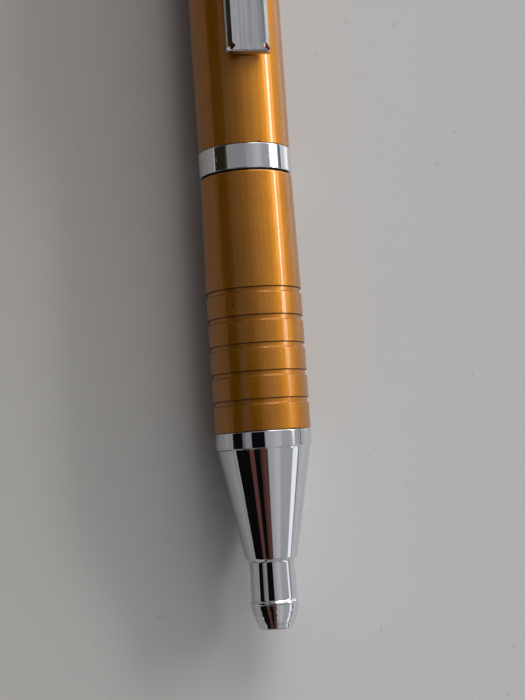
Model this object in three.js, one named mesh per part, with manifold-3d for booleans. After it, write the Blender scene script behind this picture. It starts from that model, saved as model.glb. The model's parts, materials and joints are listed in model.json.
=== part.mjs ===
// A pull-open pocket ballpoint pen.
// Closed, it hides its point in the nose. Pulled open, the rear barrel slides back along a bright
// inner tube, a pin on its rod turns a cam sleeve, and the sleeve drives the refill forwards.
// Millimetres, +Z up. The pen lies along Y, nose towards -Y and clip on top. Its origin is on the
// surface it lies on, halfway along. Places along the pen are counted from the nose end.
import * as THREE from "three";
import { mergeVertices } from "three/addons/utils/BufferGeometryUtils.js";
import Module from "manifold-3d";

const wasm = await Module();
wasm.setup();

// Facets round the outer pieces, the nose's tip, the inner pieces and the smallest pieces, and
// steps to a turn of the thread, the cam slots and the spring
const outerFacets = 40;
const tipFacets = 32;
const innerFacets = 20;
const smallFacets = 12;
const threadSteps = 16;
const slotSteps = 24;
const springFacets = 5;
const springSteps = 8;

// Clearances
const pressGap = 0.05;
const slideGap = 0.1;
const faceGap = 0.05;
const partingGap = 0.15;
const cutOver = 1;

// Barrels
const barrelDiameter = 9.1;
const gripSwell = 0.15;
const gripWall = 0.5;
const rearWall = 0.45;
const gripLength = 25.05;
const gripEdgeRound = 0.12;
const gripRearRound = 0.22;

// Grooves round the grip
const grooveCount = 5;
const groovePitch = 2.67;
const grooveWidth = 0.55;
const grooveDepth = 0.17;
const grooveFlare = 0.08;
const firstGroove = 2.5;

// Nose
const noseLength = 2.58;
const noseEndRadius = 1.63;
const noseEndRound = 0.2;
const noseFullness = 0.75;
const nosePoints = 5;
const ridgeRadius = 2.4;
const ridgeWidth = 0.1;
const ridgeRise = 0.16;
const neckRearRadius = 2.17;
const neckFrontRadius = 2.25;
const neckLength = 3.75;
const shankWall = 0.4;
const shankLength = 3.5;
const mouthRoom = 0.16;
const mouthLength = 0.9;
const tipBoreRoom = 0.125;
const coneLength = 10.78;
const coneNoseRadius = 2.53;
const coneChamfer = 0.28;
const coneStep = 0.15;
const collarLength = 1.7;
const collarEdge = 0.08;

// Screw joint between the nose and the grip
const spigotLength = 7.2;
const pilotLength = 0.9;
const threadPitch = 1.0;
const threadDepth = 0.32;
const threadRoot = 0.36;
const threadCrest = 0.16;
const threadTurns = 4;
const threadLeadIn = 2;
const threadLeadOut = 0.25;
const threadGap = 0.1;
const threadWall = 0.58;
const threadRunIn = 0.5;
const linerWebLength = 1.2;
const linerWebRadius = 2.4;
const linerThreadRoom = 1.3;
const linerRecess = 0.3;

// Centre ring and slide
const ringLength = 2.42;
const ringProud = 0.05;
const ringEdge = 0.08;
const slideTravel = 19;
const pointTravel = 3;
const bushWall = 0.45;
const bushLength = 7.6;
const tubeWall = 0.4;
const stopLength = 2.5;
const oRingSection = 0.34;
const oRingGrooveWidth = 0.7;
const tubePlugLength = 1.5;

// Refill
const refillLength = 67;
const refillRadius = 1.175;
const refillWall = 0.2;
const refillRecess = 0.6;
const ballRadius = 0.35;
const pointLength = 6;
const pointNoseRadius = 0.48;
const pointShankLength = 2.4;
const socketDepth = 0.4;

// Cam, pins and springs
const camWall = 0.8;
const camTurn = Math.PI;
const camEndWall = 1.2;
const camStopLength = 1.4;
const pinRadius = 0.5;
const pinGap = 0.12;
const pinInnerRadius = 0.8;
const pinRecess = 0.15;
const holderGrip = 5;
const holderPinOffset = 1.5;
const holderEndWall = 0.6;
const rodRadius = 1.5;
const rodNose = 0.6;
const rodGap = 0.3;
const rodSeat = 4;
const springLength = 14.2;
const springTurns = 11;
const springWireRadius = 0.18;
const springInset = 0.1;
const springSeatLength = 2;

// Rear end
const rearSpare = 3.1;
const plugLength = 5.9;
const studRadius = 2;
const studGap = 0.2;
const bandLength = 2.4;
const capLength = 3.5;
const capSide = 2.1;
const capShoulder = 1.4;
const capPoints = 5;
const capWall = 0.9;

// Clip
const clipLength = 49.45;
const clipTopWidth = 3.3;
const clipBevel = 0.5;
const clipFlange = 0.6;
const clipSheet = 0.4;
const clipEndStand = 1.4;
const clipRootStand = 2.15;
const clipEndBevel = 0.35;
const clipPipRadius = 0.8;
const clipPipPlace = 3.2;
const clipPipGap = 0.1;
const clipGrooveCount = 3;
const clipGrooveWidth = 0.4;
const clipGrooveDepth = 0.12;
const clipGrooveMargin = 1.2;
const tongueShoulder = 0.5;
const tongueThickness = 0.6;
const tongueDepth = 1.2;
const tongueFoot = 0.25;
const tongueInset = 0.75;
const tongueGap = 0.15;

// Radii that follow from the walls and fits
const barrelRadius = barrelDiameter / 2;
const gripRadius = barrelRadius + gripSwell;
const gripBore = barrelRadius - gripWall;
const linerRadius = gripBore - pressGap;
const rearBore = barrelRadius - rearWall;
const bushRadius = rearBore - pressGap;
const tubeRadius = bushRadius - bushWall - slideGap;
const tubeBore = tubeRadius - tubeWall;
const camRadius = tubeBore - slideGap;
const camBore = camRadius - camWall;
const holderRadius = camBore - slideGap;
const innerRingRadius = tubeBore - pressGap;
const threadRadius = linerRadius - threadWall - threadGap;
const spigotRadius = threadRadius - threadDepth;
const tipBoreRadius = refillRadius + tipBoreRoom;
const shankRadius = tipBoreRadius + shankWall;
const pinReach = tubeRadius - pinRecess;
const slotRadius = pinRadius + pinGap;
const springRadius = holderRadius - springWireRadius - springInset;
const capEndRadius = gripRadius - capShoulder;
const tonguePivotRadius = gripRadius - tongueDepth;
const tongueWidth = clipTopWidth + 2 * clipBevel - 2 * tongueShoulder;
const clipRootHeight = gripRadius + clipRootStand;
const clipEndHeight = barrelRadius + clipEndStand;
const axisHeight = gripRadius * Math.cos(Math.PI / outerFacets);

// Places along the pen that follow from the lengths
const coneFront = noseLength + ridgeWidth + ridgeRise + neckLength;
const coneRear = coneFront + coneLength;
const gripFront = coneRear + collarLength;
const gripRear = gripFront + gripLength;
const threadRoomRear = gripFront + spigotLength - collarLength + linerThreadRoom;
const tubeSeat = threadRoomRear + linerWebLength;
const ringFront = gripRear + partingGap;
const ringRear = ringFront + ringLength;
const refillRear = refillRecess + refillLength;
const holderFront = refillRear - holderGrip;
const holderFloor = refillRear + faceGap;
const holderPinPlace = holderFloor + holderPinOffset;
const holderRear = holderPinPlace + pinRadius + holderEndWall;
const rodFront = holderRear + rodGap;
const drivePinPlace = rodFront + rodNose + pinRadius;
const camFront = holderPinPlace - pointTravel - slotRadius - camEndWall;
const camRear = drivePinPlace + slideTravel + slotRadius + camEndWall;
const tubePlugFront = camRear + slideGap;
const tubeRear = tubePlugFront + tubePlugLength;
const bushFront = ringFront + faceGap;
const bushRear = bushFront + bushLength;
const stopFront = bushRear + slideTravel + faceGap;
const plugFront = tubeRear + rearSpare;
const rearBarrelFront = ringRear + faceGap;
const rearBarrelRear = plugFront + plugLength;
const bandFront = rearBarrelRear + faceGap;
const bandRear = bandFront + bandLength;
const capFront = bandRear + faceGap;
const capRear = capFront + capLength;
const studRear = capRear - capWall - studGap;
const tongueRear = bandRear - tongueInset;
const clipSlope = Math.atan((clipRootHeight - clipEndHeight) / clipLength);

// Finishes
const lacquer = new THREE.MeshStandardMaterial({ color: 0xc97a1e, roughness: 0.28, metalness: 0.55 });
const chrome = new THREE.MeshStandardMaterial({ color: 0xd6d9dc, roughness: 0.06, metalness: 1 });
const steel = new THREE.MeshStandardMaterial({ color: 0xb9bcc0, roughness: 0.25, metalness: 1 });
const brass = new THREE.MeshStandardMaterial({ color: 0xc9a04c, roughness: 0.25, metalness: 1 });
const whitePlastic = new THREE.MeshStandardMaterial({ color: 0xe9e6dc, roughness: 0.5, metalness: 0 });
const blackPlastic = new THREE.MeshStandardMaterial({ color: 0x26272a, roughness: 0.45, metalness: 0 });
const rubber = new THREE.MeshStandardMaterial({ color: 0x1b1b1c, roughness: 0.8, metalness: 0 });

// A closed three.js geometry as a manifold-3d solid, without the flat triangles at a lathe's poles.
function solidOf(geometry) {
  const bare = new THREE.BufferGeometry().setAttribute("position", geometry.getAttribute("position"));
  bare.setIndex(geometry.index);
  const merged = mergeVertices(bare, 1e-4);
  const corners = merged.index.array;
  const kept = [];
  for (let i = 0; i < corners.length; i += 3) {
    const [a, b, c] = [corners[i], corners[i + 1], corners[i + 2]];
    if (a !== b && b !== c && c !== a) kept.push(a, b, c);
  }
  const mesh = new wasm.Mesh({
    numProp: 3,
    vertProperties: new Float32Array(merged.getAttribute("position").array),
    triVerts: new Uint32Array(kept),
  });
  return new wasm.Manifold(mesh);
}

// A manifold-3d solid as a named three.js mesh, moved along the pen to its place.
function piece(name, solid, material, place = 0) {
  const mesh = solid.getMesh();
  const corners = new Float32Array(mesh.numVert * 3);
  for (let i = 0; i < mesh.numVert; i++) {
    corners.set(mesh.vertProperties.subarray(i * mesh.numProp, i * mesh.numProp + 3), i * 3);
  }
  const geometry = new THREE.BufferGeometry();
  geometry.setAttribute("position", new THREE.BufferAttribute(corners, 3));
  geometry.setIndex(new THREE.BufferAttribute(mesh.triVerts, 1));
  geometry.computeVertexNormals();
  const made = new THREE.Mesh(geometry, material);
  made.name = name;
  made.position.y = place;
  return made;
}

// A turned solid. The profile lists [radius, along]: up the outside, then back down the bore.
function turned(profile, facets) {
  const points = profile.map(([radius, along]) => new THREE.Vector2(radius, along));
  const open = profile[0][0] === 0 && profile[profile.length - 1][0] === 0;
  if (!open) points.push(points[0].clone());
  return solidOf(new THREE.LatheGeometry(points, facets, Math.PI / facets));
}

// A plain tube of one length, with small bevels on its outer edges.
function tube(radius, bore, length, facets, edge = 0) {
  const outside = edge > 0
    ? [[radius - edge, 0], [radius, edge], [radius, length - edge], [radius - edge, length]]
    : [[radius, 0], [radius, length]];
  return turned([[bore, 0], ...outside, [bore, length]], facets);
}

// A round section of a few sides, as [radius, along] points.
function roundSection(centre, radius, sides) {
  const section = [];
  for (let i = 0; i < sides; i++) {
    const angle = (2 * Math.PI * i) / sides;
    section.push([centre + radius * Math.cos(angle), radius * Math.sin(angle)]);
  }
  return section;
}

// A section of [radius, along] points carried round the pen's axis while it climbs.
function coil(section, turn, climb, steps, startTurn = 0, startAlong = 0) {
  const count = section.length;
  const corners = [];
  const faces = [];
  for (let i = 0; i <= steps; i++) {
    const angle = startTurn + (turn * i) / steps;
    const along = startAlong + (climb * i) / steps;
    for (const [radius, rise] of section) {
      corners.push(radius * Math.sin(angle), along + rise, radius * Math.cos(angle));
    }
  }
  for (let i = 0; i < steps; i++) {
    for (let k = 0; k < count; k++) {
      const next = (k + 1) % count;
      const [a, b] = [i * count + k, (i + 1) * count + k];
      const [c, d] = [(i + 1) * count + next, i * count + next];
      faces.push(a, b, d, c, d, b);
    }
  }
  const outline = section.map(([radius, rise]) => new THREE.Vector2(radius, rise));
  const last = steps * count;
  for (const [a, b, c] of THREE.ShapeUtils.triangulateShape(outline, [])) {
    faces.push(a, b, c, last + a, last + c, last + b);
  }
  const geometry = new THREE.BufferGeometry();
  geometry.setAttribute("position", new THREE.Float32BufferAttribute(corners, 3));
  geometry.setIndex(faces);
  return solidOf(geometry);
}

// A box given by its size and its centre.
function box(width, length, height, x, y, z) {
  return solidOf(new THREE.BoxGeometry(width, length, height).translate(x, y, z));
}

// A round pin that stands up from the pen's axis between two radii.
function radialPin(radius, inner, outer, along) {
  const geometry = new THREE.CylinderGeometry(radius, radius, outer - inner, smallFacets);
  geometry.rotateX(Math.PI / 2);
  geometry.translate(0, along, (inner + outer) / 2);
  return solidOf(geometry);
}

// Some turns of a trapezoid screw thread's ridge, grown on all sides by a clearance.
function threadRidge(turns, start, grow = 0) {
  const foot = spigotRadius - threadGap;
  const section = [
    [foot, -threadRoot / 2 - grow],
    [threadRadius + grow, -threadCrest / 2 - grow],
    [threadRadius + grow, threadCrest / 2 + grow],
    [foot, threadRoot / 2 + grow],
  ];
  const steps = Math.round(turns * threadSteps);
  return coil(section, turns * 2 * Math.PI, turns * threadPitch, steps, 0, start);
}

// Nose
function noseTip() {
  const end = noseEndRadius - noseEndRound;
  const mouthRadius = pointRadiusAt(pointTravel - refillRecess + mouthLength) + mouthRoom;
  const control = new THREE.Vector2(
    noseEndRadius + noseFullness * (ridgeRadius - noseEndRadius),
    noseLength / 2,
  );
  const bullet = new THREE.QuadraticBezierCurve(
    new THREE.Vector2(noseEndRadius, noseEndRound),
    control,
    new THREE.Vector2(ridgeRadius, noseLength),
  );
  const ridgeRear = noseLength + ridgeWidth;
  const shankRear = coneFront + shankLength;
  return turned([
    [mouthRadius, 0],
    [end, 0],
    ...bullet.getPoints(nosePoints).map((p) => [p.x, p.y]),
    [ridgeRadius, ridgeRear],
    [neckFrontRadius, ridgeRear + ridgeRise],
    [neckRearRadius, coneFront - faceGap],
    [shankRadius, coneFront - faceGap],
    [shankRadius, shankRear],
    [tipBoreRadius, shankRear],
    [tipBoreRadius, noseLength],
    [mouthRadius, mouthLength],
  ], tipFacets);
}

function noseCone() {
  const bore = shankRadius + pressGap;
  const spigotRear = coneLength + spigotLength;
  const body = turned([
    [bore, 0],
    [coneNoseRadius - coneChamfer, 0],
    [coneNoseRadius, coneChamfer],
    [gripRadius - coneStep, coneLength],
    [bore, coneLength],
  ], outerFacets);
  const spigot = turned([
    [bore, coneLength - cutOver],
    [threadRadius, coneLength - cutOver],
    [threadRadius, coneLength + pilotLength],
    [spigotRadius, coneLength + pilotLength],
    [spigotRadius, spigotRear - threadDepth],
    [spigotRadius - threadDepth, spigotRear],
    [bore, spigotRear],
  ], innerFacets);
  const ridge = threadRidge(threadTurns, coneLength + collarLength + threadRunIn);
  return body.add(spigot).add(ridge);
}

function frontCollar() {
  return tube(gripRadius, threadRadius + threadGap, collarLength - 2 * faceGap, outerFacets, collarEdge);
}

// Grip
function gripBarrel() {
  const outside = [[gripRadius - gripEdgeRound, 0], [gripRadius, gripEdgeRound]];
  for (let i = 0; i < grooveCount; i++) {
    const front = firstGroove + i * groovePitch;
    outside.push(
      [gripRadius, front],
      [gripRadius - grooveDepth, front + grooveFlare],
      [gripRadius - grooveDepth, front + grooveWidth],
      [gripRadius, front + grooveWidth],
    );
  }
  outside.push([barrelRadius, gripLength - gripRearRound], [barrelRadius - gripRearRound, gripLength]);
  return turned([[gripBore, 0], ...outside, [gripBore, gripLength]], outerFacets);
}

function gripLiner(front) {
  const length = gripLength - 2 * linerRecess;
  const threadBore = spigotRadius + threadGap;
  const body = turned([
    [threadBore, 0],
    [linerRadius, 0],
    [linerRadius, length],
    [tubeRadius + pressGap, length],
    [tubeRadius + pressGap, tubeSeat - front],
    [linerWebRadius, tubeSeat - front],
    [linerWebRadius, threadRoomRear - front],
    [threadBore, threadRoomRear - front],
  ], innerFacets);
  // The groove starts ahead of the liner's front face, a whole number of turns before the ridge.
  const start = threadRunIn - linerRecess - threadLeadIn * threadPitch;
  return body.subtract(threadRidge(threadTurns + threadLeadIn + threadLeadOut, start, threadGap));
}

// Slide
function slideTube(front) {
  const body = tube(tubeRadius, tubeBore, tubeRear - front, innerFacets);
  const width = 2 * slotRadius;
  const height = tubeWall + 2 * cutOver;
  const middle = (tubeRadius + tubeBore) / 2;
  const refillSlot = box(
    width, pointTravel + width, height, 0, holderPinPlace - pointTravel / 2 - front, middle,
  );
  const driveSlot = box(
    width, slideTravel + width, height, 0, drivePinPlace + slideTravel / 2 - front, middle,
  );
  return body.subtract(refillSlot).subtract(driveSlot);
}

// A ring pressed into the inner tube, round a piece that moves in it.
function tubeRing(innerPiece, length) {
  return tube(innerRingRadius, innerPiece + slideGap, length, innerFacets);
}

function stopCollar() {
  const radius = rearBore - slideGap;
  const grooveFront = (stopLength - oRingGrooveWidth) / 2;
  const grooveFloor = oRingCentre() - oRingSection / 2 - faceGap;
  return turned([
    [tubeRadius + pressGap, 0],
    [radius, 0],
    [radius, grooveFront],
    [grooveFloor, grooveFront],
    [grooveFloor, grooveFront + oRingGrooveWidth],
    [radius, grooveFront + oRingGrooveWidth],
    [radius, stopLength],
    [tubeRadius + pressGap, stopLength],
  ], innerFacets);
}

function oRingCentre() {
  return rearBore - faceGap - oRingSection / 2;
}

function oRing() {
  return turned(roundSection(oRingCentre(), oRingSection / 2, springSteps), innerFacets);
}

// A helical slot for a pin that travels along the pen while the sleeve turns half way round.
function camSlot(place, travel, turn) {
  const inner = camBore - pinGap;
  const outer = camRadius + cutOver;
  const rise = Math.atan(Math.abs(travel / turn) / inner);
  const half = slotRadius / Math.cos(rise);
  const extra = Math.asin(slotRadius / inner);
  const sweep = turn + 2 * extra;
  const climb = (travel * sweep) / turn;
  const section = [[inner, -half], [outer, -half], [outer, half], [inner, half]];
  const steps = Math.round((sweep / (2 * Math.PI)) * slotSteps);
  const start = place - (travel * extra) / turn;
  const swept = coil(section, sweep, climb, steps, -turn - extra, start);
  const low = Math.min(place, place + travel) - slotRadius;
  const band = turned([
    [inner - pinGap, low],
    [outer + cutOver, low],
    [outer + cutOver, low + Math.abs(travel) + 2 * slotRadius],
    [inner - pinGap, low + Math.abs(travel) + 2 * slotRadius],
  ], innerFacets);
  return swept.intersect(band);
}

function camSleeve() {
  const body = tube(camRadius, camBore, camRear - camFront, innerFacets);
  // Seen from the sleeve, both pins run backwards round it as it turns forwards.
  const driveSlot = camSlot(drivePinPlace + slideTravel - camFront, -slideTravel, camTurn);
  const refillSlot = camSlot(holderPinPlace - pointTravel - camFront, pointTravel, camTurn);
  return body.subtract(driveSlot).subtract(refillSlot);
}

// Refill
function refillTube() {
  return tube(refillRadius, refillRadius - refillWall, refillLength - pointLength - faceGap, smallFacets);
}

// The radius of the point's cone at a place counted from the ball's front.
function pointRadiusAt(place) {
  const share = (place - ballRadius) / (pointLength - ballRadius);
  return pointNoseRadius + (refillRadius - pointNoseRadius) * share;
}

function refillPoint() {
  const front = ballRadius;
  const socket = ballRadius + faceGap / 2;
  const shank = refillRadius - refillWall - pressGap;
  return turned([
    [0, front + socketDepth],
    [socket, front + socketDepth],
    [socket, front],
    [pointNoseRadius, front],
    [refillRadius, pointLength],
    [shank, pointLength],
    [shank, pointLength + pointShankLength],
    [0, pointLength + pointShankLength],
  ], innerFacets);
}

function refillBall() {
  const rows = smallFacets / 2;
  const profile = [];
  for (let i = 0; i <= rows; i++) {
    const angle = (Math.PI * i) / rows;
    const onAxis = i === 0 || i === rows;
    profile.push([onAxis ? 0 : ballRadius * Math.sin(angle), -ballRadius * Math.cos(angle)]);
  }
  return turned(profile, smallFacets);
}

function refillHolder() {
  const length = holderRear - holderFront;
  const floor = holderFloor - holderFront;
  const bore = refillRadius + pressGap;
  const body = turned([
    [0, floor],
    [bore, floor],
    [bore, 0],
    [holderRadius, 0],
    [holderRadius, length],
    [0, length],
  ], innerFacets);
  const hole = radialPin(
    pinRadius + pressGap, pinInnerRadius - pressGap, holderRadius + cutOver, holderPinPlace - holderFront,
  );
  return body.subtract(hole);
}

function refillSpring() {
  const section = roundSection(springRadius, springWireRadius, springFacets);
  const climb = springLength - 2 * springWireRadius;
  console.log(`Least gap between the spring's turns: ${springTurnGap(climb).toFixed(2)} mm`);
  return coil(section, springTurns * 2 * Math.PI, climb, springTurns * springSteps, 0, springWireRadius);
}

// The least distance between points half a turn or more apart on the spring's wire, less the wire.
function springTurnGap(climb) {
  const steps = springTurns * springSteps;
  const points = [];
  for (let i = 0; i <= steps; i++) {
    const angle = (2 * Math.PI * i) / springSteps;
    points.push(new THREE.Vector3(
      springRadius * Math.sin(angle),
      (climb * i) / steps,
      springRadius * Math.cos(angle),
    ));
  }
  let least = Infinity;
  for (let i = 0; i < points.length; i++) {
    for (let j = i + springSteps / 2; j < points.length; j++) {
      least = Math.min(least, points[i].distanceTo(points[j]));
    }
  }
  return least - 2 * springWireRadius;
}

// Rear
function centreRing() {
  return tube(barrelRadius + ringProud, bushRadius + pressGap, ringLength, outerFacets, ringEdge);
}

function slideBush() {
  return tube(bushRadius, tubeRadius + slideGap, bushLength, innerFacets);
}

function rearBarrel() {
  return tube(barrelRadius, rearBore, rearBarrelRear - rearBarrelFront, outerFacets);
}

function pullRod() {
  const length = plugFront + rodSeat - rodFront;
  const body = turned([[0, 0], [rodRadius, 0], [rodRadius, length], [0, length]], innerFacets);
  const hole = radialPin(
    pinRadius + pressGap, pinInnerRadius - pressGap, rodRadius + cutOver, drivePinPlace - rodFront,
  );
  return body.subtract(hole);
}

function rearPlug() {
  const bore = rodRadius + pressGap;
  const seat = rodSeat + faceGap;
  return turned([
    [0, seat],
    [bore, seat],
    [bore, 0],
    [rearBore - pressGap, 0],
    [rearBore - pressGap, plugLength],
    [studRadius, plugLength],
    [studRadius, studRear - plugFront],
    [0, studRear - plugFront],
  ], innerFacets);
}

function endCap() {
  const bore = studRadius + pressGap;
  const boreEnd = capLength - capWall;
  const dome = [];
  for (let i = 0; i <= capPoints; i++) {
    const angle = ((Math.PI / 2) * i) / capPoints;
    dome.push([
      capEndRadius + (gripRadius - capEndRadius) * Math.cos(angle),
      capSide + (capLength - capSide) * Math.sin(angle),
    ]);
  }
  return turned([
    [0, boreEnd],
    [bore, boreEnd],
    [bore, 0],
    [gripRadius - collarEdge, 0],
    [gripRadius, collarEdge],
    ...dome,
    [0, capLength],
  ], outerFacets);
}

function clipBand() {
  const body = tube(gripRadius, studRadius + pressGap, bandLength, outerFacets, collarEdge);
  const notchLow = tonguePivotRadius - tongueFoot - tongueGap;
  const notchHeight = gripRadius + cutOver - notchLow;
  const notch = box(
    tongueWidth + 2 * tongueGap,
    tongueThickness + 2 * tongueGap,
    notchHeight,
    0,
    bandLength - tongueInset - tongueThickness / 2,
    notchLow + notchHeight / 2,
  );
  return body.subtract(notch);
}

// The clip arm, seen from its pivot: it runs towards the nose, its top face level in its own frame.
function clipArm() {
  const top = clipRootHeight - tonguePivotRadius;
  const half = clipTopWidth / 2;
  const wide = half + clipBevel;
  const low = top - clipBevel - clipFlange;
  const section = new THREE.Shape([
    new THREE.Vector2(-wide, low),
    new THREE.Vector2(wide, low),
    new THREE.Vector2(wide, top - clipBevel),
    new THREE.Vector2(half, top),
    new THREE.Vector2(-half, top),
    new THREE.Vector2(-wide, top - clipBevel),
  ]);
  const rear = tongueThickness / 2;
  const front = rear - clipLength;
  const bar = new THREE.ExtrudeGeometry(section, { depth: clipLength, bevelEnabled: false });
  bar.rotateX(Math.PI / 2).translate(0, rear, 0);
  const roomTop = top - clipSheet;
  const room = box(
    2 * (wide - clipSheet),
    clipLength - tongueThickness - clipSheet,
    roomTop - low + cutOver,
    0,
    (front + clipSheet + rear - tongueThickness) / 2,
    (roomTop + low - cutOver) / 2,
  );
  // A square bar turned on its edge takes the bevel off the free end's top edge.
  const bevelBar = clipEndBevel * Math.SQRT2;
  const bevelCut = box(2 * wide + cutOver, bevelBar, bevelBar, 0, 0, 0);
  let arm = solidOf(bar).subtract(room).subtract(bevelCut.rotate([45, 0, 0]).translate([0, front, top]));
  for (let i = 0; i < clipGrooveCount; i++) {
    const x = (i - (clipGrooveCount - 1) / 2) * (clipTopWidth / clipGrooveCount);
    const length = clipLength - 2 * clipGrooveMargin;
    arm = arm.subtract(box(clipGrooveWidth, length, 2 * clipGrooveDepth, x, (front + rear) / 2, top));
  }
  const tongue = box(
    tongueWidth, tongueThickness, roomTop + tongueFoot, 0, 0, (roomTop - tongueFoot) / 2,
  );
  const pipPlace = front + clipPipPlace;
  const pipLow = pipFloor(pipPlace);
  const pip = new THREE.CylinderGeometry(clipPipRadius, clipPipRadius, roomTop + clipSheet / 2 - pipLow,
    smallFacets);
  pip.rotateX(Math.PI / 2).translate(0, pipPlace, (roomTop + clipSheet / 2 + pipLow) / 2);
  return arm.add(tongue).add(solidOf(pip));
}

// The height, in the clip's own frame, at which its pip stops just short of the barrel.
function pipFloor(pipPlace) {
  const barrelTop = barrelRadius + clipPipGap - tonguePivotRadius;
  return (barrelTop - pipPlace * Math.sin(clipSlope)) / Math.cos(clipSlope);
}

// Assembly
const pen = new THREE.Group();
const nose = new THREE.Group();
const grip = new THREE.Group();
const refill = new THREE.Group();
const cam = new THREE.Group();
const rear = new THREE.Group();
pen.add(nose, grip, refill, cam, rear);
pen.position.set(0, -capRear / 2, axisHeight);

nose.add(
  piece("nose_tip", noseTip(), chrome),
  piece("nose_cone", noseCone(), chrome, coneFront),
  piece("front_collar", frontCollar(), chrome, coneRear + faceGap),
);

const linerFront = gripFront + linerRecess;
const tubeFront = tubeSeat + faceGap;
const springSeatRear = holderFront - faceGap - springLength - faceGap;
grip.add(
  piece("grip_barrel", gripBarrel(), lacquer, gripFront),
  piece("grip_liner", gripLiner(linerFront), blackPlastic, linerFront),
  piece("slide_tube", slideTube(tubeFront), chrome, tubeFront),
  piece("stop_collar", stopCollar(), brass, stopFront),
  piece("slide_o_ring", oRing(), rubber, stopFront + stopLength / 2),
  piece("spring_seat", tubeRing(refillRadius, springSeatLength), brass, springSeatRear - springSeatLength),
  piece("refill_spring", refillSpring(), steel, springSeatRear + faceGap),
  piece("cam_stop_ring", tubeRing(holderRadius, camStopLength), brass, camFront - slideGap - camStopLength),
  piece("tube_end_plug", tubeRing(rodRadius, tubePlugLength), brass, tubePlugFront),
);

refill.add(
  piece("refill_tube", refillTube(), steel, refillRecess + pointLength + faceGap),
  piece("refill_point", refillPoint(), brass, refillRecess),
  piece("refill_ball", refillBall(), steel, refillRecess + ballRadius),
  piece("refill_holder", refillHolder(), whitePlastic, holderFront),
  piece("holder_pin", radialPin(pinRadius, pinInnerRadius, pinReach, 0), steel, holderPinPlace),
);

cam.add(piece("cam_sleeve", camSleeve(), whitePlastic, camFront));

rear.add(
  piece("centre_ring", centreRing(), chrome, ringFront),
  piece("slide_bush", slideBush(), blackPlastic, bushFront),
  piece("rear_barrel", rearBarrel(), lacquer, rearBarrelFront),
  piece("pull_rod", pullRod(), steel, rodFront),
  piece("drive_pin", radialPin(pinRadius, pinInnerRadius, pinReach, 0), steel, drivePinPlace),
  piece("rear_plug", rearPlug(), brass, plugFront),
  piece("clip_band", clipBand(), chrome, bandFront),
  piece("end_cap", endCap(), chrome, capFront),
);

const arm = piece("clip_arm", clipArm(), chrome, tongueRear - tongueThickness / 2);
arm.position.z = tonguePivotRadius;
arm.rotation.x = clipSlope;
rear.add(arm);

export default pen;
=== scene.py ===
"""A pull-open pocket ballpoint pen: lacquered grip and barrel, chromed nose, ring and spring clip.

The pen lies along Y with its nose towards -Y and its clip on top, on a pale table at height 0.
Each piece is modelled round the pen's axis at a thousand times its size, so one unit is one
millimetre, and is then brought to its real size and place. Outlines list (along, radius) points.
"""
import json
import math

import bmesh
import bpy
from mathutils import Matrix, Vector


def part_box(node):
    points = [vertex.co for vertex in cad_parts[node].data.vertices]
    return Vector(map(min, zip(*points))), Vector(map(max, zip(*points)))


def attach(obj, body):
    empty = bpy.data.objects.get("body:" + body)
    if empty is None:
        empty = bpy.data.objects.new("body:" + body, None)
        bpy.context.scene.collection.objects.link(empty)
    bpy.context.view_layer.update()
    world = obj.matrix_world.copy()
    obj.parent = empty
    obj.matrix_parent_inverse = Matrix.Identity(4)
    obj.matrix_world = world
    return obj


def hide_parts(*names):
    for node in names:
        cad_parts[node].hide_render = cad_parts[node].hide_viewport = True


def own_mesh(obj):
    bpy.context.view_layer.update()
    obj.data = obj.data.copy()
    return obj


bl_info = {
    "name": "Pull-open ballpoint pen",
    "version": (1, 0, 0),
    "blender": (4, 5, 0),
    "location": "3D View > Sidebar > Pen",
    "description": "Models and finishes the outer pieces of a pull-open pocket ballpoint pen",
    "category": "Add Mesh",
}

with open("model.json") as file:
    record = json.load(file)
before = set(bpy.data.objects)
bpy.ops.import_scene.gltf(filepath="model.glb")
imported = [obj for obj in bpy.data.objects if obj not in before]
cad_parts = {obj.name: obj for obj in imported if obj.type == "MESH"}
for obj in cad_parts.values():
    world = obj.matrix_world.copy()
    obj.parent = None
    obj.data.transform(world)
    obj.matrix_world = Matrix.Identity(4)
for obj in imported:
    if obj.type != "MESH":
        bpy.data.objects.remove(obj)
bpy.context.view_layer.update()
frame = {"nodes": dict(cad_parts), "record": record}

MM = 0.001
AXIS_HEIGHT = sum(corner.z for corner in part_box("grip_barrel")) / 2 / MM

# Fixed measures, in millimetres
CLOSE = 0.0001  # within which two points count as one
INNER_ROUND = 0.05  # rounding of edges that hardly show
PULL = 19  # travel of the rear barrel
FEED = 3  # travel of the refill
PIVOT_INSET = 1.05  # from the clip band's rear end to the line on which the clip turns
PIVOT_HEIGHT = 3.5  # of that line above the pen's axis
CLIP_BACK = 0.3  # how far the clip reaches behind that line
CLIP_ROOT_HEIGHT = 6.85  # of the clip's top above the axis, at its root
TONGUE_WIDTH = 3.3  # of the clip's tongue


def front(node):
    """The front end of a node along the pen, in millimetres."""
    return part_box(node)[0].y / MM


def rear(node):
    """The rear end of a node along the pen, in millimetres."""
    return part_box(node)[1].y / MM


def middle(node):
    """The middle of a node along the pen, in millimetres."""
    return (front(node) + rear(node)) / 2


# Sizes and colours


def length(name, description, millimetres):
    """A length that a user can change."""
    return amount(name, description, millimetres * MM, min=0, precision=5, unit="LENGTH")


def colour(name, description, red, green, blue):
    """A colour that a user can change."""
    return bpy.props.FloatVectorProperty(
        name=name, description=description, default=(red, green, blue), subtype="COLOR", min=0, max=1
    )


def amount(name, description, default, **settings):
    """Another number that a user can change."""
    return bpy.props.FloatProperty(name=name, description=description, default=default, **settings)


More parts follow.
